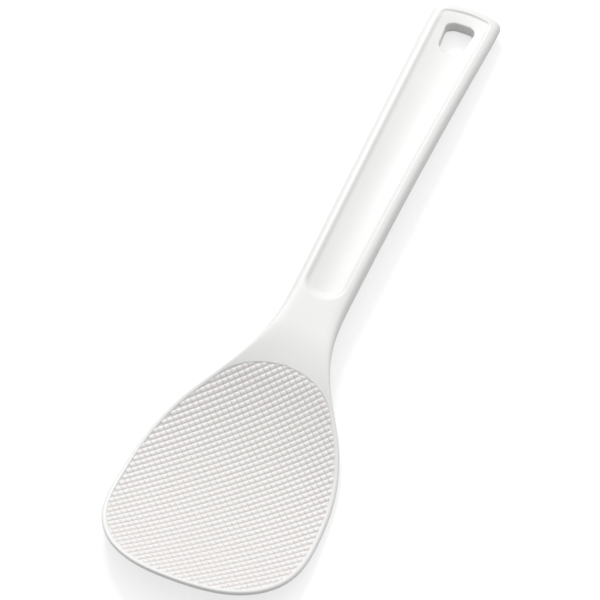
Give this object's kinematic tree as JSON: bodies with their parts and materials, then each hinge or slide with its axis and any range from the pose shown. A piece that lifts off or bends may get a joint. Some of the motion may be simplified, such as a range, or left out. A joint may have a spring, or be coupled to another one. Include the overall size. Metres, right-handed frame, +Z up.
{
  "type": "rice paddle",
  "caption": "Moulded one-piece rice paddle with a dished blade, a raised neck and a scooped handle with a hanging hole.",
  "frame": {"origin": "on the surface that the paddle lies on, under the middle of its length and width", "axes": "+Y from the blade's tip to the handle's end, +X across the blade, +Z up out of the blade's dished front"},
  "size_m": [0.0618, 0.2334, 0.0116],
  "materials": {
    "white_plastic": "satin"
  },
  "bodies": {
    "root": {"paddle": "white_plastic"}
  },
  "joints": []
}
